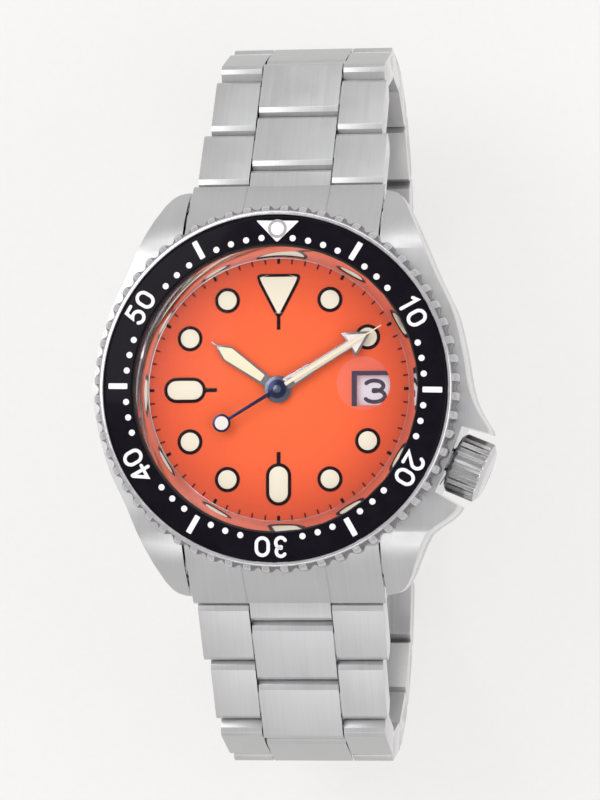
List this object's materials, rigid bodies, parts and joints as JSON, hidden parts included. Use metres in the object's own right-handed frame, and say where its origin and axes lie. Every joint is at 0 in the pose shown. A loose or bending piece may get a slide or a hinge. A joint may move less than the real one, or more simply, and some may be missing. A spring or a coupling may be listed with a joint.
{
  "type": "dive watch",
  "caption": "Wrist watch with a turning coin-edge bezel, an orange dial and a three-row link bracelet closed by a folding clasp.",
  "frame": {"origin": "centre of the case back's outer face, on the axis of the hands", "axes": "+Z out through the crystal, +Y towards 12 o'clock, +X towards 3 o'clock; the bracelet loop hangs below"},
  "size_m": [0.0447, 0.0828, 0.056],
  "materials": {
    "case_steel": "brushed and polished",
    "bracelet_steel": "brushed tops, polished sides",
    "bezel_steel": "polished coin edge",
    "bezel_insert": "gloss black with white markings",
    "crystal": "clear",
    "reflector": "mirror polished",
    "dial": "satin orange with printed marks",
    "hands": "satin grey with pale filling",
    "seconds": "dark gloss",
    "date": "white",
    "rubber": "matt",
    "white_plastic": "matt",
    "brass": "gilt",
    "movement": "striped plating",
    "polished_steel": "polished"
  },
  "bodies": {
    "case": {"mid_case": "case_steel", "case_back": "case_steel", "case_back_gasket": "rubber", "crystal": "crystal", "crystal_gasket": "rubber", "date_magnifier": "crystal", "reflector_ring": "reflector", "dial": "dial", "crown_tube": "polished_steel", "movement_ring": "white_plastic", "main_plate": "movement", "train_bridge": "movement", "balance_cock": "movement", "hairspring": "polished_steel", "end_link_12": "bracelet_steel", "end_link_6": "bracelet_steel", "spring_bar_12": "polished_steel", "spring_bar_6": "polished_steel", "bezel_click_spring": "polished_steel", "bezel_gasket": "rubber", "rotor_bearing": "polished_steel"},
    "bezel": {"bezel": "bezel_steel", "bezel_insert": "bezel_insert"},
    "clutch": {"clutch_wheel": "brass"},
    "crown": {"crown": "case_steel", "winding_stem": "polished_steel", "crown_gasket": "rubber"},
    "seconds": {"seconds_hand": "seconds", "fourth_wheel": "brass"},
    "minutes": {"minute_hand": "hands", "centre_wheel": "brass"},
    "hours": {"hour_hand": "hands", "hour_wheel": "brass"},
    "third_wheel": {"third_wheel": "brass"},
    "escape_wheel": {"escape_wheel": "brass"},
    "pallet_fork": {"pallet_fork": "polished_steel"},
    "balance": {"balance_wheel": "brass"},
    "barrel": {"mainspring_barrel": "brass"},
    "date_ring": {"date_ring": "date"},
    "rotor": {"rotor": "movement"},
    "link_12_side_1": {"link_12_side_1": "bracelet_steel"},
    "link_12_side_2": {"link_12_side_2": "bracelet_steel"},
    "link_12_side_3": {"link_12_side_3": "bracelet_steel"},
    "link_12_side_4": {"link_12_side_4": "bracelet_steel"},
    "link_12_side_5": {"link_12_side_5": "bracelet_steel"},
    "link_12_side_6": {"link_12_side_6": "bracelet_steel"},
    "link_12_side_7": {"link_12_side_7": "bracelet_steel"},
    "link_6_side_1": {"link_6_side_1": "bracelet_steel"},
    "link_6_side_2": {"link_6_side_2": "bracelet_steel"},
    "link_6_side_3": {"link_6_side_3": "bracelet_steel"},
    "link_6_side_4": {"link_6_side_4": "bracelet_steel"},
    "link_6_side_5": {"link_6_side_5": "bracelet_steel"},
    "link_6_side_6": {"link_6_side_6": "bracelet_steel"},
    "link_6_side_7": {"link_6_side_7": "bracelet_steel"},
    "clasp_cover": {"clasp_cover": "bracelet_steel"},
    "outer_blade": {"outer_blade": "polished_steel"},
    "inner_blade": {"inner_blade": "polished_steel"},
    "safety_flap": {"safety_flap": "bracelet_steel"},
    "push_button_left": {"push_button_left": "polished_steel"},
    "push_button_right": {"push_button_right": "polished_steel"}
  },
  "joints": [
    {"name": "bezel_turn", "type": "hinge", "parent": "case", "child": "bezel", "pos_m": [0, 0, 0.011], "axis": [0, 0, 1], "continuous": true},
    {"name": "crown_turn", "type": "hinge", "parent": "case", "child": "clutch", "pos_m": [0.00665, -0.00276, 0.0057], "axis": [0.9239, -0.3827, 0], "continuous": true},
    {"name": "crown_pull", "type": "slide", "parent": "clutch", "child": "crown", "axis": [0.9239, -0.3827, 0], "range_m": [0, 0.0025]},
    {"name": "seconds_run", "type": "hinge", "parent": "case", "child": "seconds", "pos_m": [0, 0, 0.0107], "axis": [0, 0, -1], "continuous": true},
    {"name": "minutes_run", "type": "hinge", "parent": "case", "child": "minutes", "pos_m": [0, 0, 0.0103], "axis": [0, 0, -1], "continuous": true},
    {"name": "hours_run", "type": "hinge", "parent": "case", "child": "hours", "pos_m": [0, 0, 0.01], "axis": [0, 0, -1], "continuous": true},
    {"name": "third_wheel_run", "type": "hinge", "parent": "case", "child": "third_wheel", "pos_m": [-0.00222, 0.00385, 0.0055], "axis": [0, 0, -1], "continuous": true},
    {"name": "escape_wheel_run", "type": "hinge", "parent": "case", "child": "escape_wheel", "pos_m": [-0.00395, -0.00144, 0.0058], "axis": [0, 0, -1], "continuous": true},
    {"name": "barrel_run", "type": "hinge", "parent": "case", "child": "barrel", "pos_m": [0.00417, 0.00417, 0.0074], "axis": [0, 0, -1], "continuous": true},
    {"name": "pallet_rock", "type": "hinge", "parent": "case", "child": "pallet_fork", "pos_m": [-0.00508, -0.00355, 0.0058], "axis": [0, 0, 1], "range_deg": [-5, 5]},
    {"name": "balance_swing", "type": "hinge", "parent": "case", "child": "balance", "pos_m": [-0.0066, -0.0064, 0.005], "axis": [0, 0, 1], "range_deg": [-150, 150]},
    {"name": "date_turn", "type": "hinge", "parent": "case", "child": "date_ring", "pos_m": [0, 0, 0.0089], "axis": [0, 0, 1], "continuous": true},
    {"name": "rotor_spin", "type": "hinge", "parent": "case", "child": "rotor", "pos_m": [0, 0, 0.0027], "axis": [0, 0, 1], "continuous": true},
    {"name": "link_12_side_1_hinge", "type": "hinge", "parent": "case", "child": "link_12_side_1", "pos_m": [0, 0.0237, -0.00076], "axis": [1, 0, 0], "range_deg": [0, 3]},
    {"name": "link_12_side_2_hinge", "type": "hinge", "parent": "link_12_side_1", "child": "link_12_side_2", "pos_m": [0, 0.03033, -0.00558], "axis": [1, 0, 0], "range_deg": [0, 5]},
    {"name": "link_12_side_3_hinge", "type": "hinge", "parent": "link_12_side_2", "child": "link_12_side_3", "pos_m": [0, 0.03705, -0.01028], "axis": [1, 0, 0], "range_deg": [0, 42]},
    {"name": "link_12_side_4_hinge", "type": "hinge", "parent": "link_12_side_3", "child": "link_12_side_4", "pos_m": [0, 0.03972, -0.01804], "axis": [1, 0, 0], "range_deg": [0, 37]},
    {"name": "link_12_side_5_hinge", "type": "hinge", "parent": "link_12_side_4", "child": "link_12_side_5", "pos_m": [0, 0.03816, -0.02609], "axis": [1, 0, 0], "range_deg": [0, 31]},
    {"name": "link_12_side_6_hinge", "type": "hinge", "parent": "link_12_side_5", "child": "link_12_side_6", "pos_m": [0, 0.03357, -0.03288], "axis": [1, 0, 0], "range_deg": [0, 30]},
    {"name": "link_12_side_7_hinge", "type": "hinge", "parent": "link_12_side_6", "child": "link_12_side_7", "pos_m": [0, 0.02677, -0.03747], "axis": [1, 0, 0], "range_deg": [0, 27]},
    {"name": "link_6_side_1_hinge", "type": "hinge", "parent": "case", "child": "link_6_side_1", "pos_m": [0, -0.0237, -0.00076], "axis": [-1, 0, 0], "range_deg": [0, 3]},
    {"name": "link_6_side_2_hinge", "type": "hinge", "parent": "link_6_side_1", "child": "link_6_side_2", "pos_m": [0, -0.03033, -0.00558], "axis": [-1, 0, 0], "range_deg": [0, 5]},
    {"name": "link_6_side_3_hinge", "type": "hinge", "parent": "link_6_side_2", "child": "link_6_side_3", "pos_m": [0, -0.03705, -0.01028], "axis": [-1, 0, 0], "range_deg": [0, 42]},
    {"name": "link_6_side_4_hinge", "type": "hinge", "parent": "link_6_side_3", "child": "link_6_side_4", "pos_m": [0, -0.03972, -0.01804], "axis": [-1, 0, 0], "range_deg": [0, 37]},
    {"name": "link_6_side_5_hinge", "type": "hinge", "parent": "link_6_side_4", "child": "link_6_side_5", "pos_m": [0, -0.03816, -0.02609], "axis": [-1, 0, 0], "range_deg": [0, 31]},
    {"name": "link_6_side_6_hinge", "type": "hinge", "parent": "link_6_side_5", "child": "link_6_side_6", "pos_m": [0, -0.03357, -0.03288], "axis": [-1, 0, 0], "range_deg": [0, 30]},
    {"name": "link_6_side_7_hinge", "type": "hinge", "parent": "link_6_side_6", "child": "link_6_side_7", "pos_m": [0, -0.02677, -0.03747], "axis": [-1, 0, 0], "range_deg": [0, 27]},
    {"name": "clasp_cover_hinge", "type": "hinge", "parent": "link_6_side_7", "child": "clasp_cover", "pos_m": [0, -0.01885, -0.03959], "axis": [-1, 0, 0], "range_deg": [0, 23]},
    {"name": "outer_blade_hinge", "type": "hinge", "parent": "clasp_cover", "child": "outer_blade", "pos_m": [0, 0.0146, -0.04075], "axis": [-1, 0, 0], "range_deg": [0, 40]},
    {"name": "inner_blade_hinge", "type": "hinge", "parent": "outer_blade", "child": "inner_blade", "pos_m": [0, -0.0135, -0.0403], "axis": [1, 0, 0], "range_deg": [0, 105]},
    {"name": "safety_flap_hinge", "type": "hinge", "parent": "clasp_cover", "child": "safety_flap", "pos_m": [0, 0.0162, -0.0422], "axis": [1, 0, 0], "range_deg": [0, 120]},
    {"name": "push_button_left_press", "type": "slide", "parent": "clasp_cover", "child": "push_button_left", "axis": [1, 0, 0], "range_m": [0, 0.0005], "stiffness_N_per_m": 200},
    {"name": "push_button_right_press", "type": "slide", "parent": "clasp_cover", "child": "push_button_right", "axis": [-1, 0, 0], "range_m": [0, 0.0005], "stiffness_N_per_m": 200}
  ],
  "couplings": [
    {"joint": "minutes_run", "follows": "seconds_run", "ratio": 0.016667},
    {"joint": "hours_run", "follows": "seconds_run", "ratio": 0.0013889},
    {"joint": "third_wheel_run", "follows": "seconds_run", "ratio": -0.125},
    {"joint": "escape_wheel_run", "follows": "seconds_run", "ratio": -12},
    {"joint": "barrel_run", "follows": "seconds_run", "ratio": -0.0023148}
  ]
}
